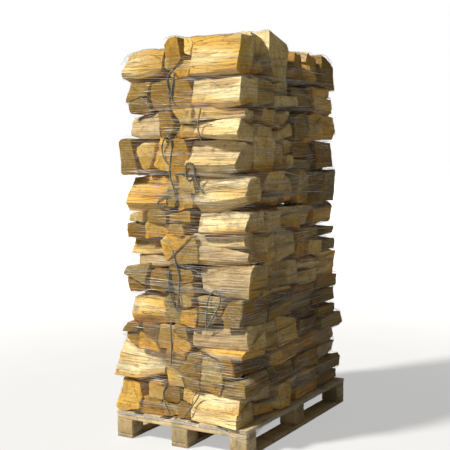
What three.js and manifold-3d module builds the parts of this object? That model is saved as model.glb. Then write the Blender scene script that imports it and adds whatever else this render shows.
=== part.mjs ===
// A pallet load of split firewood in net bags: a nine-block wooden pallet with twelve tiers of bags on it, four bags
// to a tier. Millimetres, +Z up. The origin is on the ground under the middle of the pallet. The pallet's short end
// faces -Y (front) and its long side faces +X (right).
import * as THREE from "three";
import { mergeVertices } from "three/addons/utils/BufferGeometryUtils.js";
import Module from "manifold-3d";

// ---- Pallet -------------------------------------------------------------------------------------------------------
const PALLET_WIDTH = 800; // along X
const PALLET_LENGTH = 1200; // along Y
const BOARD_THICKNESS = 22;
const BLOCK_SIZE = 100; // square in plan
const BLOCK_HEIGHT = 78;
const RUNNER_WIDTH = 100;
const CROSS_BOARD_WIDTH = 100;
const DECK_BOARD_WIDTH = 110;
const DECK_BOARD_COUNT = 5;
const NAILED_GAP = 0.3; // left between nailed pieces, so that their faces don't share a plane

const BLOCK_TOP = BOARD_THICKNESS + BLOCK_HEIGHT;
const CROSS_BOARD_TOP = BLOCK_TOP + NAILED_GAP + BOARD_THICKNESS;
const DECK_TOP = CROSS_BOARD_TOP + NAILED_GAP + BOARD_THICKNESS;

// ---- Bags ---------------------------------------------------------------------------------------------------------
// Every tier, from the pallet up: how thick it is in the middle, how much its right side stands above its left at the
// front, and how far its left, right and back ends stand in from the pallet's edges. Full bags are never level, so
// each tier leans its own way.
const TIERS = [
  { thick: 160, rightRise: -40, inset: { left: 10, right: 30, back: 10 } },
  { thick: 190, rightRise: -40, inset: { left: 20, right: 20, back: 30 } },
  { thick: 140, rightRise: 20, inset: { left: 50, right: 10, back: 40 } },
  { thick: 150, rightRise: 60, inset: { left: 80, right: 0, back: 10 } },
  { thick: 150, rightRise: 70, inset: { left: 70, right: 10, back: 20 } },
  { thick: 160, rightRise: 70, inset: { left: 100, right: 0, back: 50 } },
  { thick: 130, rightRise: 20, inset: { left: 60, right: 0, back: 70 } },
  { thick: 180, rightRise: 30, inset: { left: 70, right: 10, back: 40 } },
  { thick: 180, rightRise: -30, inset: { left: 40, right: 30, back: 80 } },
  { thick: 140, rightRise: 60, inset: { left: 100, right: 10, back: 70 } },
  { thick: 160, rightRise: 0, inset: { left: 80, right: 30, back: 100 } },
  { thick: 150, rightRise: 80, inset: { left: 60, right: 30, back: 80 } },
];
const FRONT_RISE = 16; // how much the front of a tier stands above its back
const BACK_RIGHT_RISE = -10; // how much a tier's right side stands above its left at the back, where it shows least
const FRONT_INSET = 10; // how far every tier's front stands in from the pallet's edge
const BACK_INSET = 12; // how far the lowest tier's back bags stand in at the left and right
const BACK_TAPER = 2; // how much further in they stand with each tier
const SEAMS = { front: 90, back: -30, between: 20 }; // off the middle, to the other side in every second tier
const BAG_GAP = 4; // between neighbours in a tier
const TIER_GAP = 1; // between a tier and the one below it
const TOP_CROWN = 30; // how much the uncovered top tier's bags dome up in the middle

// How a full bag's box is softened, all of it inwards from the box above.
const SHOULDER = 10; // sides pull in at the top and bottom edges
const CORNER = 24; // sides pull in at the upright corners
const SAG = 12; // top and bottom fall away towards the corners
const LUMP = 1; // dents between the log ends
const BAG_STEPS = [4, 4, 3]; // faces along X, Y and Z

const MATERIALS = {
  pallet: new THREE.MeshStandardMaterial({ color: 0xb39b6b, roughness: 0.85, metalness: 0 }),
  firewood: new THREE.MeshStandardMaterial({ color: 0xcfa45c, roughness: 0.8, metalness: 0 }),
};

const { Manifold, Mesh: SolidMesh } = await loadSolids();

async function loadSolids() {
  const wasm = await Module();
  wasm.setup();
  return wasm;
}

/** A three.js geometry as a manifold-3d solid, its shared vertices merged. */
function toSolid(geometry) {
  const bare = geometry.clone();
  bare.deleteAttribute("normal");
  bare.deleteAttribute("uv");
  const merged = mergeVertices(bare);
  return new Manifold(
    new SolidMesh({
      numProp: 3,
      vertProperties: merged.attributes.position.array,
      triVerts: new Uint32Array(merged.index.array),
    }),
  );
}

/** A manifold-3d solid as a three.js geometry. */
function toGeometry(solid) {
  const mesh = solid.getMesh();
  const geometry = new THREE.BufferGeometry();
  geometry.setAttribute("position", new THREE.BufferAttribute(new Float32Array(mesh.vertProperties), 3));
  geometry.setIndex(new THREE.BufferAttribute(new Uint32Array(mesh.triVerts), 1));
  geometry.computeVertexNormals();
  return geometry;
}

function namedMesh(name, geometry, material) {
  const mesh = new THREE.Mesh(geometry, material);
  mesh.name = name;
  return mesh;
}

/** A sawn board or block: a box of the given size, centred over (x, y) with its underside at bottom. */
function timber(name, [width, length, height], [x, y, bottom]) {
  const mesh = namedMesh(name, new THREE.BoxGeometry(width, length, height), MATERIALS.pallet);
  mesh.position.set(x, y, bottom + height / 2);
  return mesh;
}

/** A skid: the bottom runner and the three blocks nailed on it, as one solid. */
function skid(name, x, blockCentres) {
  const runner = new THREE.BoxGeometry(RUNNER_WIDTH, PALLET_LENGTH, BOARD_THICKNESS);
  runner.translate(0, 0, BOARD_THICKNESS / 2);
  const solid = blockCentres.reduce((joined, y) => {
    const block = new THREE.BoxGeometry(BLOCK_SIZE, BLOCK_SIZE, BLOCK_TOP);
    block.translate(0, y, BLOCK_TOP / 2);
    return joined.add(toSolid(block));
  }, toSolid(runner));
  const mesh = namedMesh(name, toGeometry(solid), MATERIALS.pallet);
  mesh.position.x = x;
  return mesh;
}

function pallet() {
  const group = new THREE.Group();
  const sideX = (PALLET_WIDTH - RUNNER_WIDTH) / 2;
  const endY = (PALLET_LENGTH - CROSS_BOARD_WIDTH) / 2;
  const rows = { front: -endY, middle: 0, back: endY };
  const columns = { left: -sideX, middle: 0, right: sideX };
  for (const [side, x] of Object.entries(columns)) {
    group.add(skid(`skid_${side}`, x, Object.values(rows)));
  }
  for (const [row, y] of Object.entries(rows)) {
    const size = [PALLET_WIDTH, CROSS_BOARD_WIDTH, BOARD_THICKNESS];
    group.add(timber(`cross_board_${row}`, size, [0, y, BLOCK_TOP + NAILED_GAP]));
  }
  const pitch = (PALLET_WIDTH - DECK_BOARD_WIDTH) / (DECK_BOARD_COUNT - 1);
  for (let i = 0; i < DECK_BOARD_COUNT; i++) {
    const x = (i - (DECK_BOARD_COUNT - 1) / 2) * pitch;
    const size = [DECK_BOARD_WIDTH, PALLET_LENGTH, BOARD_THICKNESS];
    group.add(timber(`deck_board_${i + 1}`, size, [x, 0, CROSS_BOARD_TOP + NAILED_GAP]));
  }
  return group;
}

/** The height at (x, y) of a face given by its heights over the pallet's four corners. */
function faceHeight([frontLeft, frontRight, backRight, backLeft], x, y) {
  const across = x / PALLET_WIDTH + 0.5;
  const along = y / PALLET_LENGTH + 0.5;
  const front = frontLeft + (frontRight - frontLeft) * across;
  const back = backLeft + (backRight - backLeft) * across;
  return front + (back - front) * along;
}

/** A repeatable dent from 0 to LUMP at a point on a bag. */
function dent(x, y, z) {
  return LUMP * (0.5 + 0.5 * Math.sin(0.047 * x + 0.71) * Math.cos(0.039 * y - 0.4) * Math.sin(0.061 * z + 1.3));
}

/**
 * A full bag: a softened box over the given plan, between two tier faces. Its sides are fullest at mid height, its
 * upright corners are rounded, and its top and bottom fall away a little towards its corners.
 */
function bag(name, { left, right, front, back }, lower, upper, crown) {
  const geometry = new THREE.BoxGeometry(2, 2, 2, ...BAG_STEPS);
  const points = geometry.attributes.position;
  const halfWidth = (right - left - BAG_GAP) / 2;
  const halfLength = (back - front - BAG_GAP) / 2;
  for (let i = 0; i < points.count; i++) {
    const u = points.getX(i);
    const v = points.getY(i);
    const w = points.getZ(i);
    const boxX = (left + right) / 2 + u * halfWidth;
    const boxY = (front + back) / 2 + v * halfLength;
    const boxZ = (faceHeight(lower, boxX, boxY) * (1 - w) + faceHeight(upper, boxX, boxY) * (1 + w)) / 2;
    const hollow = dent(boxX, boxY, boxZ) + SHOULDER * w ** 4;
    const x = boxX - Math.sign(u) * u ** 2 * (hollow + CORNER * v ** 4);
    const y = boxY - Math.sign(v) * v ** 2 * (hollow + CORNER * u ** 4);
    const bottom = faceHeight(lower, x, y) + TIER_GAP;
    const outwards = (u ** 2 + v ** 2) / 2;
    const top = faceHeight(upper, x, y) + crown * (1 - outwards);
    const fall = SAG * outwards;
    const z = w < 0 ? bottom + ((1 + w) / 2) * (top - bottom) + fall * w ** 2
      : bottom + ((1 + w) / 2) * (top - bottom) - fall * w ** 2;
    points.setXYZ(i, x, y, z);
  }
  geometry.deleteAttribute("uv");
  geometry.computeVertexNormals();
  return namedMesh(name, geometry, MATERIALS.firewood);
}

/** The heights of a tier's upper face over the pallet's front left, front right, back right and back left corners. */
function tierTop(middle, rightRise) {
  const front = middle + FRONT_RISE / 2;
  const back = middle - FRONT_RISE / 2;
  return [front - rightRise / 2, front + rightRise / 2, back + BACK_RIGHT_RISE / 2, back - BACK_RIGHT_RISE / 2];
}

/** The plans of a tier's four bags, by name. Its seams swap sides from tier to tier, so that the tiers tie in. */
function tierPlans(index, inset) {
  const halfWidth = PALLET_WIDTH / 2;
  const halfLength = PALLET_LENGTH / 2;
  const swap = index % 2 === 0 ? 1 : -1;
  const backHalf = halfWidth - BACK_INSET - BACK_TAPER * index;
  const near = { front: FRONT_INSET - halfLength, back: swap * SEAMS.between };
  const far = { front: swap * SEAMS.between, back: halfLength - inset.back };
  const nearSeam = swap * SEAMS.front;
  const farSeam = swap * SEAMS.back;
  return {
    front_left: { left: inset.left - halfWidth, right: nearSeam, ...near },
    front_right: { left: nearSeam, right: halfWidth - inset.right, ...near },
    back_left: { left: -backHalf, right: farSeam, ...far },
    back_right: { left: farSeam, right: backHalf, ...far },
  };
}

function bags() {
  const group = new THREE.Group();
  let lower = [DECK_TOP, DECK_TOP, DECK_TOP, DECK_TOP];
  let middle = DECK_TOP;
  TIERS.forEach(({ thick, rightRise, inset }, index) => {
    middle += thick;
    const upper = tierTop(middle, rightRise);
    const tier = String(index + 1).padStart(2, "0");
    const crown = index === TIERS.length - 1 ? TOP_CROWN : 0;
    for (const [place, plan] of Object.entries(tierPlans(index, inset))) {
      group.add(bag(`bag_${tier}_${place}`, plan, lower, upper, crown));
    }
    lower = upper;
  });
  return group;
}

const load = new THREE.Group();
load.add(pallet(), bags());

export default load;
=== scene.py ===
"""The looks of a pallet load of firewood: split logs in net bags, in tiers on a pallet, wrapped in netting."""

import math
import random

import bmesh
import bpy
import numpy as np
from mathutils import Matrix, Vector, noise


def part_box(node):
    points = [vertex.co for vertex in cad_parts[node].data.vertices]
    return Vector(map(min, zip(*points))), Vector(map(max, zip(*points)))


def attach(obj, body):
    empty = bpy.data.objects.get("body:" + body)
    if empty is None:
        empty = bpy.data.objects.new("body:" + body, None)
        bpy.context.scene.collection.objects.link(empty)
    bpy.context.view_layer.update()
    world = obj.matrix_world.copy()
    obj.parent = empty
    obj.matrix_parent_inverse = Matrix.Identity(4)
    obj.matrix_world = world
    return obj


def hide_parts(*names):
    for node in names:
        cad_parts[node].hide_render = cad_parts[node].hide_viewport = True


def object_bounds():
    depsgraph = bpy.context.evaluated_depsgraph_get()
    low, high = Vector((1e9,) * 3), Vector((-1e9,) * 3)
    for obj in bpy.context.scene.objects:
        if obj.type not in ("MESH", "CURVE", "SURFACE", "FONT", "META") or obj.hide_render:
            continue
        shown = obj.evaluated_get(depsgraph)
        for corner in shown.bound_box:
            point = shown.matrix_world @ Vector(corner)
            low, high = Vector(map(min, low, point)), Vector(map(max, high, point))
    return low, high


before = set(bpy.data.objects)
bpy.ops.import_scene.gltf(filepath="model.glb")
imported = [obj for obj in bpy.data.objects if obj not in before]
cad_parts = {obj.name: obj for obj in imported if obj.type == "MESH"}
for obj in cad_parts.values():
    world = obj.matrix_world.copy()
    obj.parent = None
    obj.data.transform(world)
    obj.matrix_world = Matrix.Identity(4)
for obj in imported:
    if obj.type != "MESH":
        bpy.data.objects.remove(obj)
cad_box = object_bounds()

# ---- Building nodes --------------------------------------------------------------------------------------


class Nodes:
    """A node tree being built: add() makes a node, sets its fields and fills its inputs."""

    def __init__(self, tree):
        self.tree = tree

    def add(self, kind, inputs=None, **fields):
        made = self.tree.nodes.new(kind)
        for field, value in fields.items():
            setattr(made, field, value)
        for name, value in (inputs or {}).items():
            self.feed(made.inputs[name], value)
        return made

    def feed(self, socket, value):
        if isinstance(value, bpy.types.NodeSocket):
            self.tree.links.new(value, socket)
        else:
            socket.default_value = value

    def math(self, operation, first, second=0.0):
        return self.add("ShaderNodeMath", {0: first, 1: second}, operation=operation).outputs[0]

    def mix(self, factor, first, second, blend="MIX"):
        made = self.add("ShaderNodeMix", {0: factor, 6: first, 7: second}, data_type="RGBA", blend_type=blend)
        return made.outputs[2]

    def ramp(self, factor, stops):
        """A colour ramp; stops are (place, colour)."""
        made = self.add("ShaderNodeValToRGB", {"Fac": factor})
        elements = made.color_ramp.elements
        while len(elements) < len(stops):
            elements.new(0.5)
        for element, (place, colour) in zip(elements, stops):
            element.position = place
            element.color = (*colour, 1)
        return made.outputs["Color"]

    def band(self, value, low, high, start=0.0, end=1.0):
        """start below low, end above high and a smooth step between."""
        ends = {"Value": value, "From Min": low, "From Max": high, "To Min": start, "To Max": end}
        return self.add("ShaderNodeMapRange", ends, interpolation_type="SMOOTHSTEP").outputs["Result"]

    def noise(self, vector, scale, detail=3.0, roughness=0.55, distortion=0.0):
        inputs = {"Vector": vector, "Scale": scale, "Detail": detail}
        inputs |= {"Roughness": roughness, "Distortion": distortion}
        return self.add("ShaderNodeTexNoise", inputs).outputs["Fac"]

    def stretch(self, vector, scale):
        return self.add("ShaderNodeMapping", {"Vector": vector, "Scale": scale}).outputs["Vector"]

    def effect(self, group, inputs):
        return self.add("ShaderNodeGroup", inputs, node_tree=group).outputs

    def bump(self, height, strength, distance):
        return self.add(
            "ShaderNodeBump", {"Height": height, "Strength": strength, "Distance": distance}
        ).outputs["Normal"]

    def place(self):
        return self.add("ShaderNodeTexCoord").outputs


def effect_group(name, inputs, outputs, build):
    """A shader node group: build(nodes, its inputs) returns {output: link}."""
    group = bpy.data.node_groups.new(name, "ShaderNodeTree")
    for label, kind in inputs.items():
        group.interface.new_socket(name=label, in_out="INPUT", socket_type="NodeSocket" + kind)
    for label, kind in outputs.items():
        group.interface.new_socket(name=label, in_out="OUTPUT", socket_type="NodeSocket" + kind)
    nodes = Nodes(group)
    nodes.add("NodeGroupOutput", build(nodes, nodes.add("NodeGroupInput").outputs))
    return group


def new_material(name, build):
    """A material whose Principled shader gets what build(nodes) returns: {socket: value or link}."""
    material = bpy.data.materials.new(name)
    material.use_nodes = True
    shader = material.node_tree.nodes["Principled BSDF"]
    nodes = Nodes(material.node_tree)
    for socket, value in build(nodes).items():
        nodes.feed(shader.inputs[socket], value)
    return material


# ---- Effects shared by the wood materials ----------------------------------------------------------------


def fibre(n, given):
    """Wood fibre that runs along V: fine streaks, broad streaks, drying cracks and a height for bump."""
    fine = n.noise(n.stretch(given["Along"], (260, 9, 9)), 1.0, 4.0, 0.6, 0.3)
    broad = n.noise(n.stretch(given["Along"], (36, 4.2, 5)), 1.0, 3.0, 0.55, 0.6)
    split = n.noise(n.stretch(given["Along"], (24, 1.7, 5)), 1.0, 2.0, 0.6, 0.5)
    crack = n.band(n.math("ABSOLUTE", n.math("SUBTRACT", split, 0.56)), 0.0, 0.012, 1.0, 0.0)
    height = n.math("ADD", n.math("MULTIPLY", fine, 0.45), n.math("MULTIPLY", broad, 0.75))
    return {"Fine": fine, "Broad": broad, "Crack": crack, "Height": n.math("SUBTRACT", height, crack)}


def growth_rings(n, given):
    """Growth rings round a heart at the origin, with drying checks that run out from it."""
    wobble = n.noise(given["From Heart"], 9.0, 3.0)
    distance = n.add("ShaderNodeVectorMath", {0: given["From Heart"]}, operation="LENGTH").outputs["Value"]
    radius = n.math("ADD", distance, n.math("MULTIPLY", wobble, 0.022))
    ring = n.math("FRACT", n.math("MULTIPLY", radius, 210.0))
    parts = n.add("ShaderNodeSeparateXYZ", {"Vector": given["From Heart"]}).outputs
    angle = n.math("ARCTAN2", parts["Y"], parts["X"])
    spoke = {"X": n.math("MULTIPLY", angle, 2.6), "Y": n.math("MULTIPLY", distance, 3.0), "Z": given["Seed"]}
    spokes = n.add("ShaderNodeCombineXYZ", spoke).outputs["Vector"]
    from_check = n.math("ABSOLUTE", n.math("SUBTRACT", n.noise(spokes, 2.4, 4.0, 0.65, 0.4), 0.5))
    check = n.band(from_check, 0.0, 0.014, 1.0, 0.0)
    height = n.math("SUBTRACT", n.math("MULTIPLY", ring, 0.25), check)
    return {"Ring": ring, "Check": check, "Height": height}


def weathering(n, given):
    """Greys wood in soft patches, the more the larger Amount is, and stains it here and there."""
    patches = n.noise(given["Place"], 11.0, 5.0, 0.62)
    grey = n.math("MULTIPLY", n.band(patches, 0.42, 0.70), given["Amount"])
    weathered = n.mix(grey, given["Color"], (0.30, 0.26, 0.18, 1))
    stains = n.noise(given["Place"], 34.0, 4.0, 0.7)
    return {"Color": n.mix(n.band(stains, 0.54, 0.74, 0.0, 0.6), weathered, (0.17, 0.095, 0.03, 1))}


FIBRE = effect_group(
    "wood fibre",
    {"Along": "Vector"},
    {"Fine": "Float", "Broad": "Float", "Crack": "Float", "Height": "Float"},
    fibre,
)
RINGS = effect_group(
    "growth rings",
    {"From Heart": "Vector", "Seed": "Float"},
    {"Ring": "Float", "Check": "Float", "Height": "Float"},
    growth_rings,
)
WEATHER = effect_group(
    "weathering", {"Color": "Color", "Place": "Vector", "Amount": "Float"}, {"Color": "Color"}, weathering
)

# ---- Materials -------------------------------------------------------------------------------------------

PALE_WOOD = (0.94, 0.80, 0.47)
GOLDEN_WOOD = (0.72, 0.45, 0.085)
ORANGE_WOOD = (0.72, 0.33, 0.022)
END_WOODS = [(0.0, (0.80, 0.62, 0.27)), (0.5, (0.68, 0.425, 0.072)), (1.0, (0.68, 0.34, 0.022))]  # by warmth
SHADE_TURNS = 7.3  # how often the shade runs from dark to light as a log's seed goes from 0 to 1
SHADES = (0.48, 1.20)  # of the darkest and the lightest log
ROUGH_BARK = 0.91  # the seed above which a log's bark is thick and brown


def log_tone(n):
    """A log's tone: Red is its warmth, Green how grey it has gone, raised on the load's right side for painted
    shade, and Blue a seed, picked on that side and on the front's crosswise logs for painted shade and painted
    light.
    """
    tint = n.add("ShaderNodeAttribute", attribute_name="tone").outputs["Color"]
    return n.add("ShaderNodeSeparateColor", {"Color": tint}).outputs


def log_shade(n, tone, colour):
    """The colour made lighter or darker by the log's seed: no two logs dried alike. On the load's right side
    the seeds give the darkest and lightest shades, painted shade and painted light, and on the front's
    crosswise logs light shades only, painted light.
    """
    part = n.math("FRACT", n.math("MULTIPLY", tone["Blue"], SHADE_TURNS))
    shade = n.band(part, 0.0, 1.0, *SHADES)
    grey = n.add("ShaderNodeCombineColor", {"Red": shade, "Green": shade, "Blue": shade}).outputs["Color"]
    return n.mix(1.0, colour, grey, "MULTIPLY")


def split_face(n):
    """The riven sides of a log."""
    tone = log_tone(n)
    place = n.place()
    grain = n.effect(FIBRE, {"Along": place["UV"]})
    base = n.ramp(tone["Red"], [(0.0, PALE_WOOD), (0.5, GOLDEN_WOOD), (1.0, ORANGE_WOOD)])
    streaked = n.mix(n.band(grain["Broad"], 0.42, 0.70, 0.0, 0.65), base, (0.48, 0.24, 0.05, 1))
    lit = n.mix(n.band(grain["Fine"], 0.45, 0.75, 0.0, 0.5), streaked, (0.84, 0.66, 0.30, 1))
    # The amount of grey: weathering, and painted shade on the logs of the load's right side.
    amount = n.math("ADD", tone["Green"], 0.10)
    shaded = log_shade(n, tone, lit)
    weathered = n.effect(WEATHER, {"Color": shaded, "Place": place["Object"], "Amount": amount})
    crack = n.math("MULTIPLY", grain["Crack"], 0.6)
    return {
        "Base Color": n.mix(crack, weathered["Color"], (0.10, 0.05, 0.015, 1)),
        "Roughness": n.band(grain["Fine"], 0.2, 0.8, 0.62, 0.88),
        "Normal": n.bump(grain["Height"], 0.9, 0.004),
        "Specular IOR Level": 0.25,
    }


def end_grain(n):
    """The sawn ends of a log."""
    tone = log_tone(n)
    place = n.place()
    rings = n.effect(RINGS, {"From Heart": place["UV"], "Seed": n.math("MULTIPLY", tone["Blue"], 40.0)})
    base = n.ramp(tone["Red"], END_WOODS)
    ringed = n.mix(n.band(rings["Ring"], 0.55, 1.0, 0.0, 0.35), base, (0.42, 0.23, 0.06, 1))
    heart = n.add("ShaderNodeVectorMath", {0: place["UV"]}, operation="LENGTH").outputs["Value"]
    hearted = n.mix(n.band(heart, 0.012, 0.055, 0.35, 0.0), ringed, (0.40, 0.20, 0.05, 1))
    # The amount of grey: weathering, and painted shade on the logs of the load's right side.
    amount = n.math("ADD", n.math("MULTIPLY", tone["Green"], 0.8), 0.12)
    shaded = log_shade(n, tone, hearted)
    weathered = n.effect(WEATHER, {"Color": shaded, "Place": place["Object"], "Amount": amount})
    cracked = n.mix(n.math("MULTIPLY", rings["Check"], 0.8), weathered["Color"], (0.09, 0.05, 0.02, 1))
    return {
        "Base Color": cracked,
        "Roughness": n.band(rings["Ring"], 0.0, 1.0, 0.74, 0.86),
        "Normal": n.bump(rings["Height"], 0.8, 0.002),
        "Specular IOR Level": 0.2,
    }


def bark(n):
    """Bark: thin, pale and finely lined on most logs, thick, brown and ridged on some."""
    tone = log_tone(n)
    place = n.place()
    # Thick brown bark: on the load's right side given to more logs, painted shade.
    rough = n.band(tone["Blue"], ROUGH_BARK - 0.01, ROUGH_BARK + 0.01)
    ridges = n.noise(n.stretch(place["UV"], (75, 20, 20)), 1.0, 5.0, 0.6, 1.1)
    lines = n.noise(n.stretch(place["UV"], (30, 190, 20)), 1.0, 3.0, 0.6, 0.3)
    plates = n.noise(n.stretch(place["UV"], (22, 8, 8)), 1.0, 4.0, 0.6, 0.5)
    pale = n.ramp(plates, [(0.38, (0.66, 0.53, 0.33)), (0.5, (0.60, 0.43, 0.21)), (0.64, (0.42, 0.29, 0.14))])
    lined = n.mix(n.band(lines, 0.56, 0.72, 0.0, 0.6), pale, (0.24, 0.17, 0.09, 1))
    brown = n.ramp(plates, [(0.40, (0.30, 0.20, 0.10)), (0.62, (0.24, 0.13, 0.05))])
    ridged = n.mix(n.band(ridges, 0.36, 0.54, 1.0, 0.0), brown, (0.07, 0.045, 0.025, 1))
    thin = n.math("MULTIPLY", n.math("ADD", lines, plates), 0.35)
    height = n.add("ShaderNodeMix", {0: rough, 2: thin, 3: ridges}).outputs[0]
    # Green greys the bark: weathering, and painted shade on the logs of the load's right side.
    weather = {"Color": n.mix(rough, lined, ridged), "Place": place["Object"], "Amount": tone["Green"]}
    return {
        "Base Color": n.effect(WEATHER, weather)["Color"],
        "Roughness": n.band(plates, 0.3, 0.7, 0.92, 0.72),
        "Normal": n.bump(height, 0.9, 0.006),
        "Specular IOR Level": 0.2,
    }


def sawn_board(n):
    """A pallet timber's sawn faces, its grain along V of its UV map."""
    place = n.place()
    tone = log_tone(n)
    grain = n.effect(FIBRE, {"Along": place["UV"]})
    plain = n.ramp(tone["Red"], [(0.0, (0.76, 0.64, 0.42)), (1.0, (0.76, 0.57, 0.30))])
    base = n.mix(n.band(grain["Broad"], 0.36, 0.66, 0.0, 0.8), plain, (0.54, 0.39, 0.20, 1))
    lit = n.mix(n.band(grain["Fine"], 0.5, 0.75, 0.0, 0.6), base, (0.80, 0.67, 0.45, 1))
    weathered = n.effect(WEATHER, {"Color": lit, "Place": place["Object"], "Amount": 0.85})
    return {
        "Base Color": weathered["Color"],
        "Roughness": n.band(grain["Fine"], 0.2, 0.8, 0.7, 0.9),
        "Normal": n.bump(grain["Height"], 0.7, 0.003),
        "Specular IOR Level": 0.2,
    }


def board_end(n):
    """The sawn ends of the pallet's timbers: rings that pass through from a heart outside the board."""
    place = n.place()
    seed = n.math("MULTIPLY", log_tone(n)["Blue"], 40.0)
    rings = n.effect(RINGS, {"From Heart": place["UV"], "Seed": seed})
    wood = n.mix(n.band(rings["Ring"], 0.4, 1.0, 0.0, 0.5), (0.56, 0.42, 0.22, 1), (0.36, 0.24, 0.11, 1))
    aged = n.effect(WEATHER, {"Color": wood, "Place": place["Object"], "Amount": 0.9})
    return {
        "Base Color": n.mix(n.math("MULTIPLY", rings["Check"], 0.6), aged["Color"], (0.08, 0.05, 0.03, 1)),
        "Roughness": n.band(rings["Ring"], 0.0, 1.0, 0.78, 0.9),
        "Normal": n.bump(rings["Height"], 0.6, 0.002),
        "Specular IOR Level": 0.2,
    }


def nail_steel(n):
    """The heads of the pallet's nails: dull steel with rust."""
    rust = n.band(n.noise(n.place()["Object"], 420.0, 4.0, 0.7), 0.42, 0.62)
    return {
        "Base Color": n.mix(rust, (0.36, 0.35, 0.33, 1), (0.20, 0.075, 0.03, 1)),
        "Metallic": n.math("SUBTRACT", 0.85, n.math("MULTIPLY", rust, 0.8)),
        "Roughness": n.math("ADD", 0.42, n.math("MULTIPLY", rust, 0.45)),
    }


def netting(dark, light, roughness):
    """Knitted plastic thread: its tone changes along it, from stitch to stitch."""

    def build(n):
        place = n.place()["Object"]
        stitches = n.noise(place, 260.0, 2.0)
        stretch = n.noise(place, 14.0, 3.0)
        shade = n.math("ADD", n.math("MULTIPLY", stitches, 0.5), n.math("MULTIPLY", stretch, 0.5))
        return {
            "Base Color": n.ramp(shade, [(0.35, dark), (0.65, light)]),
            "Roughness": n.band(stitches, 0.3, 0.7, roughness - 0.1, roughness + 0.1),
            "Normal": n.bump(stitches, 0.3, 0.0005),
        }

    return build


CORD_LINK = 0.013  # the length of one link of a knitted drawstring


def knitted_cord(n):
    """Drawstring: dark links of a knitted cord with light flecks between them, along V of its UV map."""
    parts = n.add("ShaderNodeSeparateXYZ", {"Vector": n.place()["UV"]}).outputs
    link = n.math("SINE", n.math("MULTIPLY", parts["Y"], 2 * math.pi / CORD_LINK))
    fleck = n.noise(n.place()["Object"], 300.0, 3.0, 0.7)
    dark = n.mix(n.band(fleck, 0.35, 0.65), (0.035, 0.050, 0.055, 1), (0.085, 0.115, 0.120, 1))
    return {
        "Base Color": n.mix(n.band(link, 0.3, 0.9), dark, (0.32, 0.35, 0.33, 1)),
        "Roughness": n.band(fleck, 0.2, 0.8, 0.7, 0.95),
        "Normal": n.bump(n.math("ADD", link, fleck), 0.7, 0.001),
    }


SPLIT = new_material("riven wood", split_face)
ENDS = new_material("sawn log end", end_grain)
BARK = new_material("log bark", bark)
BOARD = new_material("pallet board", sawn_board)
BOARD_END = new_material("pallet board end", board_end)
NAIL = new_material("rusty nail steel", nail_steel)
BAG_NET = new_material("straw bag netting", netting((0.20, 0.165, 0.085), (0.40, 0.33, 0.18), 0.6))
WRAP_NET = new_material("off-white wrap netting", netting((0.70, 0.69, 0.65), (0.92, 0.91, 0.88), 0.5))
CORD = new_material("knitted drawstring", knitted_cord)

# ---- Finished pieces -------------------------------------------------------------------------------------


def finish_piece(name, mesh, materials, replaced=()):
    """Puts a mesh in the scene as a piece at the origin, with its finish, and hides the CAD parts it stands
    for.
    """
    for material in materials:
        mesh.materials.append(material)
    piece = bpy.data.objects.new(name, mesh)
    bpy.context.scene.collection.objects.link(piece)
    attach(piece, "root")
    if replaced:
        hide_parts(*replaced)
    return piece


def thread_mesh(name, threads, girths, closed, sides=3):
    """Joined tubes round threads: (n, 3) arrays of points with a radius per point; closed ones are rings."""
    vertices, faces, start = [], [], 0
    for points, radii in zip(threads, girths):
        count = len(points)
        if closed:
            ahead = np.roll(points, -1, 0) - np.roll(points, 1, 0)
        else:
            ahead = np.gradient(points, axis=0)
        ahead /= np.linalg.norm(ahead, axis=1)[:, None] + 1e-12
        up = np.where(np.abs(ahead[:, 2:3]) > 0.9, (1.0, 0.0, 0.0), (0.0, 0.0, 1.0))
        side = np.cross(ahead, up)
        side /= np.linalg.norm(side, axis=1)[:, None]
        lift = np.cross(side, ahead)
        turns = np.arange(sides) * 2 * math.pi / sides
        offset = np.cos(turns)[None, :, None] * side[:, None] + np.sin(turns)[None, :, None] * lift[:, None]
        vertices.append((points[:, None] + radii[:, None, None] * offset).reshape(-1, 3))
        steps = count if closed else count - 1
        i = np.arange(steps)[:, None]
        j = np.arange(sides)[None, :]
        here, there = start + i * sides, start + (i + 1) % count * sides
        turn = (j + 1) % sides
        faces.append(np.stack([here + j, here + turn, there + turn, there + j], -1).reshape(-1, 4))
        start += count * sides
    vertices = np.concatenate(vertices)
    faces = np.concatenate(faces)
    mesh = bpy.data.meshes.new(name)
    mesh.vertices.add(len(vertices))
    mesh.vertices.foreach_set("co", vertices.ravel())
    mesh.loops.add(faces.size)
    mesh.loops.foreach_set("vertex_index", faces.ravel().astype(np.int32))
    mesh.polygons.add(len(faces))
    mesh.polygons.foreach_set("loop_start", np.arange(0, faces.size, 4, dtype=np.int32))
    mesh.update(calc_edges=True)
    mesh.validate()
    mesh.shade_smooth()
    return mesh


# ---- Bags ------------------------------------------------------------------------------------------------

LOG_LENGTH = 0.29  # what the logs are sawn to
LOG_WIDTHS = (0.095, 0.175)  # the narrowest and widest column of logs in a bundle
BIG_LOG_WIDTHS = (0.13, 0.22)
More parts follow.
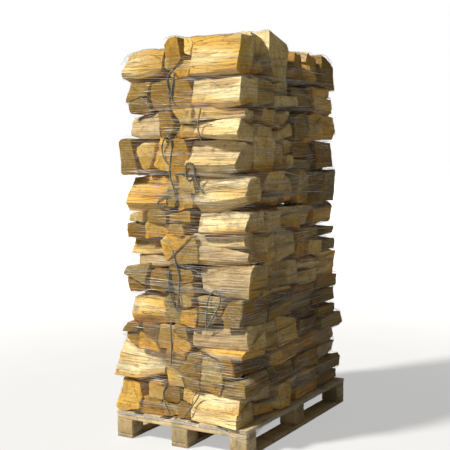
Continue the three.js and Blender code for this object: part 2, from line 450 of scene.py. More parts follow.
# By the way a bundle's logs point: how far its outer side leans off upright, in radians, the height it leans
# about, in bag thicknesses, and how far inwards it may lie.
SIDE_LEAN = {"y": (-0.42, 0.36), "x": (-0.66, 0.12)}
LEAN_FOOT = {"y": 0.5, "x": 0.36}
SIDE_SUNK = {"y": -0.042, "x": -0.012}
GAP = 0.0015  # half the gap between neighbouring logs
CORNER_TRIM = (-0.010, 0.030)  # how far a bundle's long corners are pulled in by the net
LOG_KINDS = (  # how far a log's heart lies from its middle and its bark beyond that, in log widths
    (0.05, 0.52),  # a small log left round
    (0.50, 0.54),  # split, with bark on its outside
    (0.75, 0.95),  # split all round
)
KIND_SHARES = {"y": (0.12, 0.50, 0.38), "x": (0.02, 0.28, 0.70)}  # by the way a bundle's logs point
MOST_TAPER = {"y": 0.30, "x": 0.42}
FARTHEST_IN = {"y": -0.012, "x": -0.030}  # how far a log's end may lie inside its bag's face
SWAY = {"y": 0.02, "x": 0.07}  # the most a log turns off its bundle's line, in radians


class Bag:
    """The space a bag's CAD solid holds: its plan box and its lower and upper face at each corner."""

    def __init__(self, name):
        self.name = name
        low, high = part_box(name)
        self.low, self.high = low, high
        middle = (low + high) / 2
        self.corners = {}
        points = [v.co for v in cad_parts[name].data.vertices]
        for right in (False, True):
            for back in (False, True):
                near = [p.z for p in points if (p.x > middle.x) == right and (p.y > middle.y) == back]
                self.corners[right, back] = (min(near), max(near))

    def face(self, x, y, upper):
        """The height of the bag's lower or upper face at (x, y)."""
        u = (x - self.low.x) / (self.high.x - self.low.x)
        v = (y - self.low.y) / (self.high.y - self.low.y)
        front = self.corners[False, False][upper] * (1 - u) + self.corners[True, False][upper] * u
        back = self.corners[False, True][upper] * (1 - u) + self.corners[True, True][upper] * u
        return front * (1 - v) + back * v

    @property
    def thickness(self):
        return sum(high - low for low, high in self.corners.values()) / 4

    def settle(self, point):
        """Moves a point given by its height over a level bag's foot to between the bag's real faces."""
        lower = self.face(point.x, point.y, False)
        upper = self.face(point.x, point.y, True)
        share = point.z / self.thickness
        y = point.y
        if self.name.startswith("bag_01"):  # the lowest logs lie on the deck
            share = max(share, 0.0)
        if self.name.startswith("bag_12"):  # the top tier crowns near its front right and its front leans back
            upper += 0.032 - 0.075 * ((point.x - 0.28) ** 2 + (point.y + 0.30) ** 2)
            y += 0.055 * share * min(max((-0.28 - y) / 0.25, 0), 1)
        return Vector((point.x, y, lower + share * (upper - lower)))


class Bundle:
    """Logs lying side by side in a bag: the box they fill, and the way they point, along X or along Y."""

    def __init__(self, along, start, end, left, right):
        self.along = along  # "x" or "y"
        self.start, self.end = start, end  # where the logs start and end, along their length
        self.left, self.right = left, right  # the bundle's sides, across the logs


def bundles(bag):
    """The bundles in a bag. Bags alternate up the load, so that each tier ties in the one below it."""
    tier, pair, side = bag.name.split("_")[1:]
    odd = int(tier) % 2 == 1
    x0, x1, y0, y1 = bag.low.x, bag.high.x, bag.low.y, bag.high.y
    seam = (y0 + y1) / 2

    def lengthwise(left, right):
        return [Bundle("y", y0, seam - 0.006, left, right), Bundle("y", seam + 0.006, y1, left, right)]

    def crosswise(left, right):
        return [Bundle("x", left, right, y0, y1)]

    if x1 - x0 < 0.32:
        return crosswise(x0, x1)
    if pair == "front" and side == "right" and tier not in ("02", "04"):
        split = x0 + (x1 - x0) * 0.42
        return lengthwise(x0, split) + crosswise(split - 0.016, x1)
    if pair == "back" and side == "right" and int(tier) > 4 and not odd:
        split = x1 - LOG_LENGTH
        return lengthwise(x0, split) + crosswise(split - 0.016, x1)
    return lengthwise(x0, x1)


def heart_seeds(width, height, widths, rng):
    """The middles and sizes of a bundle's logs: columns of one thick log or of two thinner ones."""
    seeds = []
    reach = 0.0
    while width - reach > 0.04:
        step = min(rng.uniform(*widths), width - reach)
        if width - reach - step < LOG_WIDTHS[0] * 0.6:
            step = width - reach
        column = reach + step / 2
        if rng.random() < 2.9 * widths[1] - 0.02 or height < 0.125:
            seeds.append((Vector((column, height * rng.uniform(0.42, 0.58), 0)), math.sqrt(step * height)))
        else:
            waist = rng.uniform(0.4, 0.6)
            for share, middle in ((waist, waist / 2), (1 - waist, (1 + waist) / 2)):
                shift = rng.uniform(-0.16, 0.16) * step
                seeds.append((Vector((column + shift, height * middle, 0)), math.sqrt(step * height * share)))
        reach += step
    return seeds


def shared_turn(a, b):
    """How far the split between two logs turns off square, the same seen from either log."""
    return 0.3 * noise.noise((a + b) * 37.0)


def log_section(log, index, seeds, width, height, along, rng):
    """Draws a log's section: a trunk's circle, split off from its neighbours and trimmed to the bundle."""
    seed, size = seeds[index]
    offset, reach = rng.choices(LOG_KINDS, KIND_SHARES[along])[0]
    outward = Vector((seed.x - width / 2, (seed.y - height / 2) * 1.5, 0)).normalized()
    turn = Matrix.Rotation(rng.gauss(0, 0.9), 3, "Z")
    heart = seed - turn @ outward * offset * size
    radius = (offset + reach) * size
    bmesh.ops.create_circle(log, cap_ends=True, segments=36, radius=radius, matrix=Matrix.Translation(heart))
    cuts = []
    for other, (there, _) in enumerate(seeds):
        if other != index and (there - seed).length < 0.32:
            outward = (there - seed).normalized()
            turned = Matrix.Rotation(shared_turn(seed, there), 3, "Z") @ outward
            cuts.append(((there + seed) / 2 - turned * GAP, turned))
    for point, outward, lean, sunk in (
        (Vector((0, height * LEAN_FOOT[along], 0)), Vector((-1, 0, 0)), SIDE_LEAN[along], SIDE_SUNK[along]),
        (Vector((width, height / 2, 0)), Vector((1, 0, 0)), (-0.3, 0.3), -0.010),
        (Vector((seed.x, 0, 0)), Vector((0, -1, 0)), (-0.2, 0.2), -0.010),
        (Vector((seed.x, height, 0)), Vector((0, 1, 0)), (-0.2, 0.2), -0.010),
    ):
        bulge = rng.uniform(sunk, 0.008)
        tilted = Matrix.Rotation(rng.uniform(*lean), 3, "Z") @ outward
        cuts.append((point + outward * bulge, tilted))
    for across, up in ((-1, -1), (1, -1), (-1, 1), (1, 1)):
        corner = Vector((width * (across > 0), height * (up > 0), 0))
        outward = Vector((across, up * rng.uniform(0.7, 1.3), 0)).normalized()
        cuts.append((corner - outward * rng.uniform(*CORNER_TRIM), outward))
    for point, outward in cuts:
        everything = log.verts[:] + log.edges[:] + log.faces[:]
        bmesh.ops.bisect_plane(log, geom=everything, plane_co=point, plane_no=outward, clear_outer=True)
    return heart, radius


def cut_long_edges(log, longest):
    """Adds points along the section's straight splits, so that they can roughen."""
    for parts in range(2, 12):
        edges = [e for e in log.edges if math.ceil(e.calc_length() / longest) == parts]
        if edges:
            bmesh.ops.subdivide_edges(log, edges=edges, cuts=parts - 1, use_grid_fill=False)
            cut_long_edges(log, longest)
            return


def log_noise(point, seed, across, along):
    return noise.noise(Vector((point.x * across, point.y * across, point.z * along)) + seed)


def make_log(index, seeds, width, height, length, along, tone, rng):
    """One log as a bmesh, its section in XY and its length along Z, or None if its section is too small."""
    log = bmesh.new()
    heart, radius = log_section(log, index, seeds, width, height, along, rng)
    if sum(f.calc_area() for f in log.faces) < 0.0012:
        log.free()
        return None
    cut_long_edges(log, 0.017)
    middle = sum((v.co for v in log.verts), Vector()) / len(log.verts)
    rim = [e for e in log.edges if e.is_boundary]
    barked = {v for v in log.verts if (v.co - heart).length > radius * 0.985}
    girth = sum(e.calc_length() for e in rim)
    section = log.faces[:]
    swept = bmesh.ops.extrude_face_region(log, geom=section, use_keep_orig=True)["geom"]
    top = [v for v in swept if isinstance(v, bmesh.types.BMVert)]
    bmesh.ops.translate(log, verts=top, vec=(0, 0, length))
    lengthwise = [e for e in log.edges if abs(e.verts[0].co.z - e.verts[1].co.z) > length / 2]
    bmesh.ops.subdivide_edges(log, edges=lengthwise, cuts=8, use_grid_fill=False)
    bmesh.ops.recalc_face_normals(log, faces=log.faces[:])
    caps = [f for f in log.faces if abs(f.normal.z) > 0.9]
    rims = {v for f in caps for v in f.verts}
    bmesh.ops.inset_region(log, faces=caps, thickness=0.004, depth=0.0012)
    tones = log.verts.layers.float_color.new("tone")
    uv = log.loops.layers.uv.new("grain")
    shift = Vector((rng.uniform(0, 9), rng.uniform(0, 9), 0))
    for face in log.faces:
        centre = face.calc_center_median()
        out = centre - middle
        face.smooth = True
        if abs(face.normal.z) > 0.7:
            face.material_index = 1
        elif (centre.xy - heart.xy).length > radius * 0.983:
            face.material_index = 2
        facing = math.atan2(out.y, out.x)
        for loop in face.loops:
            spot = loop.vert.co
            if face.material_index == 1:
                loop[uv].uv = (spot.x - heart.x, spot.y - heart.y)
            else:
                angle = math.atan2(spot.y - middle.y, spot.x - middle.x)
                angle += 2 * math.pi * round((facing - angle) / (2 * math.pi))
                loop[uv].uv = (angle * girth / (2 * math.pi) + shift.x, spot.z + shift.y)
    seed = Vector((rng.uniform(0, 99), rng.uniform(0, 99), rng.uniform(0, 99)))
    slope = Vector((rng.uniform(-0.13, 0.13), rng.uniform(-0.13, 0.13), 0))
    slope_back = Vector((rng.uniform(-0.13, 0.13), rng.uniform(-0.13, 0.13), 0))
    thinner = rng.choice((-1, 1)) * rng.uniform(0.0, MOST_TAPER[along])
    warmth, grey, number, _ = tone
    # Half the logs turn orange towards their lower side: partly the wood's own orange, partly painted shade
    # under the log.
    orange_foot_and_shade = 0.9 * (rng.random() < 0.5)
    for v in log.verts:
        spot = v.co.copy()
        own_warmth = warmth + 0.70 * log_noise(spot, seed, 13.0, 2.5)
        own_warmth += orange_foot_and_shade * max(0.0, 1 - spot.y / (0.30 * height))
        own_grey = grey + 0.5 * log_noise(spot, seed + Vector((5, 5, 5)), 9.0, 4.0)
        v[tones] = (min(max(own_warmth, 0), 1), min(max(own_grey, 0), 1), number, 1)
        out = (spot - middle) * Vector((1, 1, 0))
        out.normalize()
        splinters = log_noise(spot, seed, 62.0, 4.0)
        rough = 0.0062 * log_noise(spot, seed, 34.0, 5.0) - 0.0050 * abs(splinters)
        waist = 0.012 * log_noise(spot, seed, 11.0, 6.0)
        bend = 0.009 * noise.noise(seed + Vector((spot.z * 5, 0, 0)))
        taper = (spot.z / length - 0.5) * thinner
        v.co -= (spot - seeds[index][0]) * Vector((1, 1, 0)) * (abs(taper) + taper)
        if v not in rims:
            v.co += out * rough
        v.co += out * waist + Vector((bend, bend * 0.5, 0))
        at_end = spot.z / length
        v.co.z += (spot - middle).dot(slope * at_end + slope_back * (1 - at_end))
    bmesh.ops.translate(log, verts=log.verts[:], vec=(0, 0, -length / 2))
    return log


WARMTHS = {  # how warm the front bags' wood is: of the logs that point forwards, and of those that lie across
    "12_left": (0.74, 0.74), "12_right": (0.30, 0.00), "11_left": (0.50, 0.50), "11_right": (0.40, 0.06),
    "10_left": (0.75, 0.75), "10_right": (0.48, 0.02), "09_left": (0.56, 0.56), "09_right": (0.45, 0.14),
    "08_left": (0.68, 0.68), "08_right": (0.36, 0.16), "07_left": (0.58, 0.58), "07_right": (0.40, 0.18),
    "06_left": (0.72, 0.72), "06_right": (0.48, 0.00), "05_left": (0.58, 0.58), "05_right": (0.46, 0.10),
    "04_left": (0.40, 0.40), "04_right": (0.46, 0.46), "03_left": (0.64, 0.64), "03_right": (0.55, 0.10),
    "02_left": (0.46, 0.22), "02_right": (0.52, 0.52), "01_left": (0.62, 0.62), "01_right": (0.52, 0.26),
}
GREYED = ("bag_04_front_left", "bag_02_front_left")
PROUD = {  # how far the crosswise logs of some bags stand out beyond the others
    "bag_05_front_right": 0.010, "bag_06_front_right": -0.006, "bag_08_front_right": 0.016,
    "bag_12_front_right": -0.012,
}
DARK_BARKED = ("bag_01_front_right", "bag_01_back_right", "bag_05_back_right", "bag_07_back_left")


def log_tone_for(bag, across, on_painted_shade_side, rng):
    """A log's warmth, greyness and seed, from its bag's place and whether it is on the load's right side,
    which lies in shade: there more logs go grey and get dark bark, painted shade, and their shades run to the
    darkest and lightest, painted shade and painted light.
    """
    tier, pair, side = bag.name.split("_")[1:]
    warmth = WARMTHS[tier + "_" + side][across] if pair == "front" else 0.5
    grey = 0.06
    # The logs of the load's right side go grey more often: painted shade.
    grey_and_shade_chance = 1.0 if bag.name in GREYED else 0.45 if on_painted_shade_side else 0.08
    if rng.random() < grey_and_shade_chance:
        grey = rng.uniform(0.4, 0.9)
    number = rng.random() * (ROUGH_BARK - 0.01)
    if on_painted_shade_side:  # few logs of a middling shade on the right side: the darkest and lightest are painted shade and painted light
        turns = number * SHADE_TURNS
        swing = 2 * (turns % 1) - 1
        number = (math.floor(turns) + 0.5 + 0.48 * math.copysign(abs(swing) ** 0.3, swing)) / SHADE_TURNS
    # The logs of the load's right side get dark bark more often: painted shade.
    dark_bark_and_shade_chance = 0.55 if bag.name in DARK_BARKED else 0.45 if on_painted_shade_side else 0.10
    if pair == "front" and across:  # light logs only: painted light on the lit front
        number = (rng.randrange(5) + rng.uniform(0.55, 0.95)) / SHADE_TURNS
    elif rng.random() < dark_bark_and_shade_chance:
        number = rng.uniform(ROUGH_BARK + 0.02, 1.0)
    return (min(max(warmth + rng.gauss(0, 0.15), 0), 1), grey, number, 1)


def fill_bundle(bag, bundle, into, rng):
    """Adds the logs of a bundle to the bag's bmesh."""
    width = bundle.right - bundle.left
    height = bag.thickness
    widths = BIG_LOG_WIDTHS if bundle.along == "x" else LOG_WIDTHS
    seeds = heart_seeds(width, height, widths, rng)
    full = bundle.end - bundle.start
    for index in range(len(seeds)):
        length = min(LOG_LENGTH, full) + rng.uniform(-0.012, 0.008)
        from_right = seeds[index][0].x
        # Logs that show on the load's right side, the side in shade, take painted shade in their tone.
        on_painted_shade_side = bundle.right > 0.3 and (from_right < 0.10 if bundle.along == "y" else from_right > 0.15)
        tone = log_tone_for(bag, bundle.along == "x", on_painted_shade_side, rng)
        log = make_log(index, seeds, width, height, length, bundle.along, tone, rng)
        if log is None:
            continue
        above_middle = 2 * seeds[index][0].y / height - 1
        outward = rng.uniform(FARTHEST_IN[bundle.along], 0.018) - 0.018 * above_middle**2
        outward += PROUD.get(bag.name, 0.0) * (bundle.along == "x")
        middle = (bundle.start + bundle.end) / 2
        inner = -1 if middle > 0 else 1
        place = middle - inner * ((full - length) / 2 + outward)
        if bundle.along == "x":
            axes = Matrix(((0, 0, 1), (1, 0, 0), (0, 1, 0)))
            corner = Vector((place, bundle.left, 0))
        else:
            axes = Matrix(((-1, 0, 0), (0, 0, 1), (0, 1, 0)))
            corner = Vector((bundle.right, place, 0))
        sway = SWAY[bundle.along]
        turn = Matrix.Rotation(rng.uniform(-sway, sway), 4, "Y")
        tilt = turn @ Matrix.Rotation(rng.uniform(-0.03, 0.03), 4, "X")
        lie = Matrix.Translation(corner) @ axes.to_4x4()
        seed = seeds[index][0]
        about = Matrix.Translation(seed) @ tilt @ Matrix.Translation(-seed)
        bmesh.ops.transform(log, matrix=lie @ about, verts=log.verts[:])
        for v in log.verts:
            v.co = bag.settle(v.co)
        part = bpy.data.meshes.new("log")
        log.to_mesh(part)
        log.free()
        into.from_mesh(part)
        bpy.data.meshes.remove(part)


def points_of(mesh):
    points = np.empty(len(mesh.vertices) * 3)
    mesh.vertices.foreach_get("co", points)
    return points.reshape(-1, 3)


def bag_of_logs(bag):
    rng = random.Random(bag.name)
    together = bmesh.new()
    together.verts.layers.float_color.new("tone")
    together.loops.layers.uv.new("grain")
    for bundle in bundles(bag):
        fill_bundle(bag, bundle, together, rng)
    mesh = bpy.data.meshes.new("logs")
    together.to_mesh(mesh)
    together.free()
    mesh.set_sharp_from_angle(angle=math.radians(50))
    name = bag.name.replace("bag", "logs")
    return finish_piece(name, mesh, (SPLIT, ENDS, BARK), (bag.name,))


BAGS = {name: Bag(name) for name in sorted(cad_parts) if name.startswith("bag_")}
LOGS = {name: bag_of_logs(bag) for name, bag in BAGS.items()}


# ---- Netting ---------------------------------------------------------------------------------------------

DIRECTIONS = np.array([(math.cos(a), math.sin(a)) for a in np.linspace(0, 2 * math.pi, 120, endpoint=False)])
BAG_ROW = 0.022  # from one row of bag netting to the next
BAG_STITCH = 0.028  # between stitches along a row
WRAP_ROW = 0.0125
WRAP_STITCH = 0.025
BAG_THREAD = 0.00042  # radii
WRAP_THREAD = 0.00022
WEFT_THREAD = 0.00016
STRAY_THREAD = 0.0006
SKIRT_THREAD = 0.00045
STRAY_COUNT = 90
SKIRT_ROWS = 8


def taut_ring(flat, count, clear):
    """A ring pulled tight round points in a plane, as `count` evenly spaced points, `clear` outside them."""
    corners = flat[np.argmax(flat @ DIRECTIONS.T, axis=0)]
    corners = corners[np.any(corners != np.roll(corners, 1, 0), axis=1)] + 0.0
    middle = corners.mean(0)
    spread = corners - middle
    corners = middle + spread * (1 + clear / np.linalg.norm(spread, axis=1))[:, None]
    loop = np.vstack([corners, corners[:1]])
    run = np.concatenate([[0], np.cumsum(np.linalg.norm(np.diff(loop, axis=0), axis=1))])
    at = np.arange(count) * run[-1] / count
    return np.stack([np.interp(at, run, loop[:, 0]), np.interp(at, run, loop[:, 1])], -1)


def slab_of(points, heights, level, half):
    """The points whose heights lie within `half` of a level, or within more where those are too few."""
    near = np.abs(heights - level) < half
    while near.sum() < 40:
        half *= 1.4
        near = np.abs(heights - level) < half
    return points[near]


def zigzags(rows):
    """The threads that knit each row to the next: from stitch to stitch, up and down."""
    threads = []
    for lower, upper in zip(rows, rows[1:]):
        thread = lower.copy()
        thread[1::2] = upper[1::2]
        threads.append(thread)
    return threads


def bag_rows(bag, points):
    """The bag net's rows: rings at even steps of the bag's thickness, that follow its leaning faces."""
    lower = bag.face(points[:, 0], points[:, 1], False)
    upper = bag.face(points[:, 0], points[:, 1], True)
    share = (points[:, 2] - lower) / (upper - lower)
    steps = max(4, round(bag.thickness / BAG_ROW))
    round_it = 2 * (bag.high.x - bag.low.x + bag.high.y - bag.low.y)
    count = 2 * round(round_it / BAG_STITCH / 2)
    rows = []
    for level in (np.arange(steps) + 0.5) / steps:
        slab = slab_of(points, share, level, 0.13)
        ring = taut_ring(slab[:, :2], count, 0.0015)
        low, high = bag.face(ring[:, 0], ring[:, 1], False), bag.face(ring[:, 0], ring[:, 1], True)
        rows.append(np.column_stack([ring, low + level * (high - low)]))
    return rows


def draped_rows(bag, points):
    """Rows of net that lie over the top of a bag, just clear of the highest log under each stitch."""
    rows = []
    for y in np.arange(points[:, 1].min() + 0.02, points[:, 1].max() - 0.01, BAG_ROW):
        row = []
        for x in np.arange(points[:, 0].min() + 0.008, points[:, 0].max() - 0.004, BAG_STITCH / 2):
            away = np.hypot(points[:, 0] - x, points[:, 1] - y)
            under = points[away < max(0.024, away.min() + 0.006)]
            row.append((x, y, under[:, 2].max() + 0.002))
        rows.append(np.array(row))
    return rows


def even_girth(threads, radius):
    return [np.full(len(points), radius) for points in threads]


def bag_netting(name, bag, points):
    """A bag's own net: rows round it with zigzags between them, and rows over a bag of the top tier."""
    rows = bag_rows(bag, points)
    threads = rows + zigzags(rows)
    mesh = thread_mesh("bag net", threads, even_girth(threads, BAG_THREAD), True)
    finish_piece(name.replace("bag", "net"), mesh, (BAG_NET,))
    if name.startswith("bag_12"):
        over = draped_rows(bag, points)
        threads = over + zigzags(over)
        mesh = thread_mesh("top net", threads, even_girth(threads, BAG_THREAD), False)
        finish_piece(name.replace("bag", "net_over"), mesh, (BAG_NET,))


def wrap_height(turn, level):
    """The height of a row of the wrap at an angle round the load: rows stray, bunch and spread together."""
    drift = 0.012 * noise.noise(Vector((math.cos(turn) * 1.3, math.sin(turn) * 1.3, level * 7)))
    waver = 0.0055 * noise.noise(Vector((math.cos(turn) * 4, math.sin(turn) * 4, level * 60 + 9)))
    bunch = 0.016 * noise.noise(Vector((math.cos(turn) * 0.8, math.sin(turn) * 0.8, level * 24 + 40)))
    return level + drift + waver + bunch


def wrap_rows(points):
    """The wrap's rows: rings pulled tight round the whole load, from the pallet's deck to the top tier."""
    rows = []
    for level in np.arange(DECK_TOP + 0.012, cad_box[1][2] - 0.085, WRAP_ROW):
        slab = slab_of(points, points[:, 2], level, 0.014)
        count = 2 * round(3.8 / WRAP_STITCH / 2)
        ring = taut_ring(slab[:, :2], count, 0.003)
        heights = [wrap_height(math.atan2(y, x), level) for x, y in ring]
        rows.append(np.column_stack([ring, heights]))
    return rows


def strand_girths(rows):
    """The strands' radii: film-thin where the net is stretched, thicker where its threads gather."""
    girths = []
    for number, row in enumerate(rows):
        gathered = [noise.noise(Vector((x * 6, y * 6, number * 0.37))) for x, y in row[:, :2]]
        dashes = [noise.noise(Vector((x * 26, y * 26, number * 2.3 + 7))) for x, y in row[:, :2]]
        at_corner = np.clip(1.2 - np.hypot(row[:, 0] - 0.30, row[:, 1] + 0.62) / 0.40, 0, 1)
        bundled = np.maximum(0, np.array(gathered) - 0.05) * np.clip(0.4 + 2.4 * np.array(dashes), 0, 2)
        girths.append(WRAP_THREAD + 0.0028 * bundled + 0.00020 * at_corner)
    return girths


def wrap_skirt():
    """The wrap's first turns, round the deck's edge and bunched at the near right corner of the pallet."""
    low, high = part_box("cross_board_front")[0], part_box("cross_board_back")[1]
    rows = []
    for number in range(SKIRT_ROWS):
        turn = np.linspace(0, 2 * math.pi, 240, endpoint=False)
        reach = 1 / np.maximum(np.abs(np.cos(turn)), np.abs(np.sin(turn)))
        x = np.clip(np.cos(turn) * reach, -1, 1) * (high.x + 0.0025)
        y = np.clip(np.sin(turn) * reach, -1, 1) * (high.y + 0.0025)
        bunched = np.exp(-(((x - high.x) ** 2 + (y - low.y) ** 2) / 0.012))
        level = DECK_TOP - 0.004 - 0.0022 * number - bunched * (0.0075 * number - 0.006)
        ripple = [noise.noise(Vector((a * 9, b * 9, number * 0.6))) for a, b in zip(x, y)]
        swing = [noise.noise(Vector((a * 16, b * 16, number * 0.9 + 20))) for a, b in zip(x, y)]
        puff = 1 + 0.012 * bunched * (0.5 + np.array(ripple))
        rows.append(np.column_stack([x * puff, y * puff, level + 0.008 * (0.5 + bunched) * np.array(swing)]))
    return rows


def stray_strands(rows):
    """Strands of the wrap that were pulled aslant as it was wound on, most of them on the right side."""
    rng = random.Random("strays")
    grid = np.array(rows)
    strands = []
    for _ in range(STRAY_COUNT):
        climb, run = rng.uniform(5, 22), rng.uniform(9, 34) * rng.choice((-1, 1))
        start, turn = rng.uniform(0, len(rows) - 1 - climb), rng.gauss(0.96, 0.16) * grid.shape[1]
        t = np.linspace(0, 1, 40)
        bow = rng.uniform(-1.5, 1.5) * np.sin(t * math.pi)
        level = np.clip(start + climb * t + bow, 0, len(rows) - 1.001)
        low, share = level.astype(int), (level % 1)[:, None]
        near = (turn + run * t).round().astype(int) % grid.shape[1]
        strands.append(grid[low, near] * (1 - share) + grid[low + 1, near] * share)
    return strands


def wrap_netting(rows):
    weft = zigzags(rows)
    strays = stray_strands(rows)
    skirt = wrap_skirt()
    skirt += zigzags(skirt)
    for name, threads, girths, closed in (
        ("strands", rows, strand_girths(rows), True),
        ("weft", weft, even_girth(weft, WEFT_THREAD), True),
        ("strays", strays, even_girth(strays, STRAY_THREAD), False),
        ("skirt", skirt, even_girth(skirt, SKIRT_THREAD), True),
    ):
        mesh = thread_mesh("wrap " + name, threads, girths, closed)
        finish_piece("wrap_" + name, mesh, (WRAP_NET,))


# ---- Drawstrings -----------------------------------------------------------------------------------------

CORD_RADIUS = 0.0038
DRAWSTRINGS = {  # routes down the load's front, as (x, height) points
    "11_loop": ((-0.02, 1.80), (-0.04, 1.87), (-0.02, 1.93), (0.00, 1.90), (-0.02, 1.80), (0.00, 1.76)),
    "10_drop": ((0.15, 1.74), (0.14, 1.66), (0.16, 1.58)),
    "9_loop": ((-0.04, 1.46), (-0.07, 1.50), (-0.08, 1.55), (-0.05, 1.60), (-0.02, 1.57), (-0.03, 1.42),
               (0.00, 1.31)),
    "8_curl": ((-0.03, 1.30), (-0.06, 1.30), (-0.09, 1.28), (-0.10, 1.26), (-0.08, 1.24), (-0.06, 1.25)),
    "8_loop": ((0.12, 1.44), (0.10, 1.39), (0.07, 1.39), (0.07, 1.46), (0.11, 1.46), (0.12, 1.38),
               (0.16, 1.32)),
    "6_long": ((-0.02, 1.02), (0.01, 0.87), (-0.01, 0.72), (-0.05, 0.83), (-0.05, 0.93)),
    "4_loop": ((0.17, 0.63), (0.18, 0.78), (0.22, 0.83), (0.25, 0.77), (0.17, 0.63)),
    "3_drop": ((-0.04, 0.65), (-0.04, 0.53), (-0.05, 0.43)),
    "1_curve": ((-0.07, 0.33), (-0.10, 0.26), (-0.05, 0.17)),
    "1_right": ((0.12, 0.29), (0.07, 0.21), (0.04, 0.17)),
}


def smooth_route(corners, step):
    """A rounded route through its corners, as points about `step` apart."""
    corners = np.array(corners)
    ends = np.vstack([2 * corners[0] - corners[1], corners, 2 * corners[-1] - corners[-2]])
    route = []
    for a, b, c, d in zip(ends, ends[1:], ends[2:], ends[3:]):
        count = max(2, round(float(np.linalg.norm(c - b)) / step))
        t = (np.arange(count) / count)[:, None]
        bend = (2 * a - 5 * b + 4 * c - d) * t**2 + (3 * b - a - 3 * c + d) * t**3
        route.append(0.5 * (2 * b + (c - a) * t + bend))
    return np.vstack(route + [corners[-1:]])


def front_of(rows, x, height):
    """How far forward the wrap's nearest row lies at x, on the front of the load."""
    row = min(rows, key=lambda r: abs(r[0, 2] - height))
    front = row[row[:, 1] < row[:, 1].min() + 0.12]
    front = front[np.argsort(front[:, 0])]
    return float(np.interp(x, front[:, 0], front[:, 1]))


def drawstring(name, corners, rows):
    """A knitted cord between a bag and the wrap: its girth swells with every link."""
    flat = smooth_route(corners, 0.0032)
    forward = np.array([front_of(rows, x, z) for x, z in flat])
    forward = np.array([forward[max(0, i - 6) : i + 7].min() for i in range(len(forward))])
    forward = np.convolve(np.pad(forward, 6, "edge"), np.ones(13) / 13, "valid")
    route = np.column_stack([flat[:, 0], forward + 0.002, flat[:, 1]])
    run = np.concatenate([[0], np.cumsum(np.linalg.norm(np.diff(route, axis=0), axis=1))])
    swell = 1 + 0.28 * np.sin(run * 2 * math.pi / CORD_LINK)
    mesh = thread_mesh("drawstring", [route], [CORD_RADIUS * swell], False, 7)
    uv = mesh.uv_layers.new(name="along")
    ring = np.array([loop.vertex_index for loop in mesh.loops]) // 7
    uv.data.foreach_set("uv", np.column_stack([np.zeros(len(ring)), run[ring]]).ravel())
    finish_piece("drawstring_" + name, mesh, (CORD,))


DECK_TOP = max(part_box(name)[1].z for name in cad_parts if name.startswith("deck_board"))
LOG_POINTS = {name: points_of(piece.data) for name, piece in LOGS.items()}
for name, bag in BAGS.items():
    bag_netting(name, bag, LOG_POINTS[name])
ROWS = wrap_rows(np.vstack(list(LOG_POINTS.values())))
wrap_netting(ROWS)
for name, corners in DRAWSTRINGS.items():
    drawstring(name, corners, ROWS)

# ---- Pallet ----------------------------------------------------------------------------------------------

WORN_EDGE = 0.0022


def sawn_timber(into, low, high, rng):
    """Adds a rough sawn board or block between two corners, with worn edges and chipped ends."""
    part = bmesh.new()
    size = high - low
    grain = max(range(3), key=lambda axis: size[axis])
    bmesh.ops.create_cube(part, size=1.0)
    bmesh.ops.scale(part, vec=size, verts=part.verts[:])
    bmesh.ops.bevel(
        part, geom=part.edges[:], offset=WORN_EDGE, segments=2, profile=0.5, affect="EDGES", material=-1
    )
    along = [e for e in part.edges if abs(e.verts[0].co[grain] - e.verts[1].co[grain]) > size[grain] / 2]
    bmesh.ops.subdivide_edges(part, edges=along, cuts=max(3, round(size[grain] / 0.045)), use_grid_fill=False)
    uv = part.loops.layers.uv.new("grain")
    tone = part.verts.layers.float_color.new("tone")
    across = [axis for axis in range(3) if axis != grain]
    shift = Vector((rng.uniform(0, 9), rng.uniform(0, 9)))
    heart = Vector((rng.uniform(-0.05, 0.05), rng.uniform(-0.09, -0.04)))
    own_tone = (rng.random(), rng.random(), rng.random(), 1)
    for face in part.faces:
        face.smooth = True
        face.material_index = int(abs(face.normal[grain]) > 0.7)
        flat = max(across, key=lambda axis: abs(face.normal[axis]))
        other = across[0] if flat == across[1] else across[1]
        for loop in face.loops:
            spot = loop.vert.co
            if face.material_index:
                loop[uv].uv = (spot[across[0]] - heart.x, spot[across[1]] - heart.y)
            else:
                loop[uv].uv = (spot[other] + shift.x + flat, spot[grain] + shift.y)
    seed = Vector((rng.uniform(0, 99), rng.uniform(0, 99), rng.uniform(0, 99)))
    middle = (low + high) / 2
    for v in part.verts:
        v[tone] = own_tone
        edges_near = sum(abs(abs(v.co[axis]) - size[axis] / 2) < WORN_EDGE * 1.2 for axis in range(3))
        chip = max(0.0, noise.noise(v.co * 31 + seed) - 0.12) * 0.012 * (edges_near > 1)
        v.co *= 1 - chip
        for axis in across:
            v.co[axis] -= math.copysign(WORN_EDGE * 0.35 * (1 + noise.noise(v.co * 17 + seed)), v.co[axis])
        v.co += middle
    mesh = bpy.data.meshes.new("timber")
    part.to_mesh(mesh)
    part.free()
    into.from_mesh(mesh)
    bpy.data.meshes.remove(mesh)


def timber_piece(name, boxes, node):
    rng = random.Random(name)
    together = bmesh.new()
    together.verts.layers.float_color.new("tone")
    together.loops.layers.uv.new("grain")
    for low, high in boxes:
        sawn_timber(together, low, high, rng)
    mesh = bpy.data.meshes.new(name)
    together.to_mesh(mesh)
    together.free()
    mesh.set_sharp_from_angle(angle=math.radians(50))
    finish_piece(name, mesh, (BOARD, BOARD_END), (node,))


def skid_boxes(node, board):
    """The runner and the three square blocks on it, at its ends and in the middle."""
    low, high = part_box(node)
    block = high.x - low.x
    boxes = [(low, Vector((high.x, high.y, low.z + board)))]
    for y in (low.y + block / 2, (low.y + high.y) / 2, high.y - block / 2):
        base = Vector((low.x, y - block / 2, low.z + board + 0.0003))
        boxes.append((base, Vector((high.x, y + block / 2, high.z))))
    return boxes


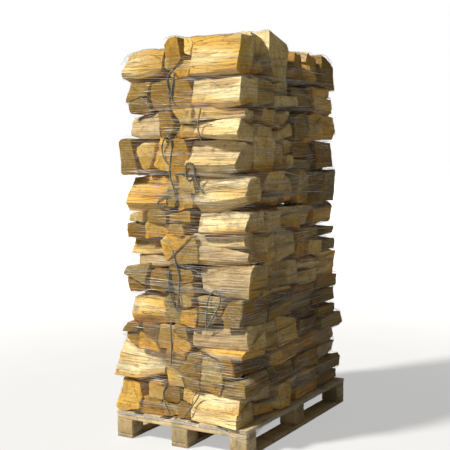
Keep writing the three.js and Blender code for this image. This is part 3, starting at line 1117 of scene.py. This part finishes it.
def nail_heads(boards, rows):
    """Two nail heads where each deck board crosses each board below it."""
    heads = bmesh.new()
    rng = random.Random("nails")
    for board in boards:
        low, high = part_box(board)
        for row in rows:
            row_low, row_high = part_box(row)
            for share in (0.27, 0.73):
                x = low.x + (high.x - low.x) * share + rng.uniform(-0.006, 0.006)
                y = row_low.y + (row_high.y - row_low.y) * rng.uniform(0.12, 0.3)
                place = Matrix.Translation((x, y, high.z - 0.0004))
                nail = {"radius1": 0.0046, "radius2": 0.0040, "depth": 0.0022}
                bmesh.ops.create_cone(heads, cap_ends=True, segments=12, matrix=place, **nail)
    mesh = bpy.data.meshes.new("nails")
    heads.to_mesh(mesh)
    heads.free()
    finish_piece("deck_nails", mesh, (NAIL,))


def pallet():
    boards = [name for name in sorted(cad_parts) if name.startswith("deck_board")]
    rows = [name for name in sorted(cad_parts) if name.startswith("cross_board")]
    skids = [name for name in sorted(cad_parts) if name.startswith("skid")]
    low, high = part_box(boards[0])
    for node in boards + rows:
        timber_piece("sawn_" + node, [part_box(node)], node)
    for node in skids:
        timber_piece("sawn_" + node, skid_boxes(node, high.z - low.z), node)
    nail_heads(boards, rows)


pallet()

# ---- Camera, floor and light -----------------------------------------------------------------------------


def stand_camera():
    camera = bpy.data.cameras.new("camera")
    camera.sensor_width = 36.0
    camera.lens = 73.85
    camera.clip_end = 60.0
    stand = bpy.data.objects.new("camera", camera)
    turn = Matrix.Rotation(math.radians(30.71), 4, "Z")
    tilt = Matrix.Rotation(math.radians(90 - 4.77), 4, "X")
    roll = Matrix.Rotation(math.radians(-0.69), 4, "Z")
    stand.matrix_world = Matrix.Translation((2.597, -4.484, 1.541)) @ turn @ tilt @ roll
    bpy.context.scene.collection.objects.link(stand)
    bpy.context.scene.camera = stand


def painted_glow_floor_finish(n):
    """A grey floor with a painted glow, seen only by the camera, that makes it look pale, lightens the shadow
    cast on it and brightens into the white surround with distance.
    """
    place = n.place()["Object"]
    mottle = n.noise(place, 2.0, 4.0)
    away = n.add("ShaderNodeVectorMath", {0: place}, operation="LENGTH").outputs["Value"]
    seen = n.add("ShaderNodeLightPath").outputs["Is Camera Ray"]
    return {
        "Base Color": n.mix(mottle, (0.33, 0.34, 0.37, 1), (0.36, 0.37, 0.40, 1)),
        "Roughness": n.band(mottle, 0.3, 0.7, 0.85, 0.95),
        # Painted glow for camera rays only: the grey floor looks pale and its cast shadow lighter.
        "Emission Color": n.mix(mottle, (1, 1, 1, 1), (0.99, 0.99, 0.99, 1)),
        "Emission Strength": n.math("MULTIPLY", seen, n.band(away, 1.0, 9.0, 0.46, 1.0)),
    }


def floor_with_painted_glow():
    ground = bmesh.new()
    bmesh.ops.create_grid(ground, x_segments=1, y_segments=1, size=40.0)
    bmesh.ops.translate(ground, verts=ground.verts[:], vec=(0, 0, -0.0005))
    mesh = bpy.data.meshes.new("floor")
    ground.to_mesh(mesh)
    ground.free()
    mesh.materials.append(new_material("pale floor", painted_glow_floor_finish))
    floor = bpy.data.objects.new("floor", mesh)
    bpy.context.scene.collection.objects.link(floor)


def studio():
    """Soft light from the front left and above, and a white surround that gives only a little of it back."""
    world = bpy.data.worlds.new("studio")
    world.use_nodes = True
    nodes = Nodes(world.node_tree)
    seen = nodes.add("ShaderNodeLightPath").outputs["Is Camera Ray"]
    nodes.feed(world.node_tree.nodes["Background"].inputs["Strength"], nodes.band(seen, 0.0, 1.0, 0.14, 1.0))
    colour = nodes.mix(seen, (1.0, 0.95, 0.84, 1), (1.0, 1.0, 1.0, 1))
    nodes.feed(world.node_tree.nodes["Background"].inputs["Color"], colour)
    bpy.context.scene.world = world
    light = bpy.data.lights.new("key", "SUN")
    light.energy = 5.0
    light.angle = math.radians(7)
    light.color = (1.0, 0.95, 0.83)
    lamp = bpy.data.objects.new("key", light)
    lamp.rotation_euler = Vector((0.38, 0.58, -0.72)).to_track_quat("-Z", "Y").to_euler()
    bpy.context.scene.collection.objects.link(lamp)
    bpy.context.scene.view_settings.view_transform = "Standard"


stand_camera()
floor_with_painted_glow()
studio()
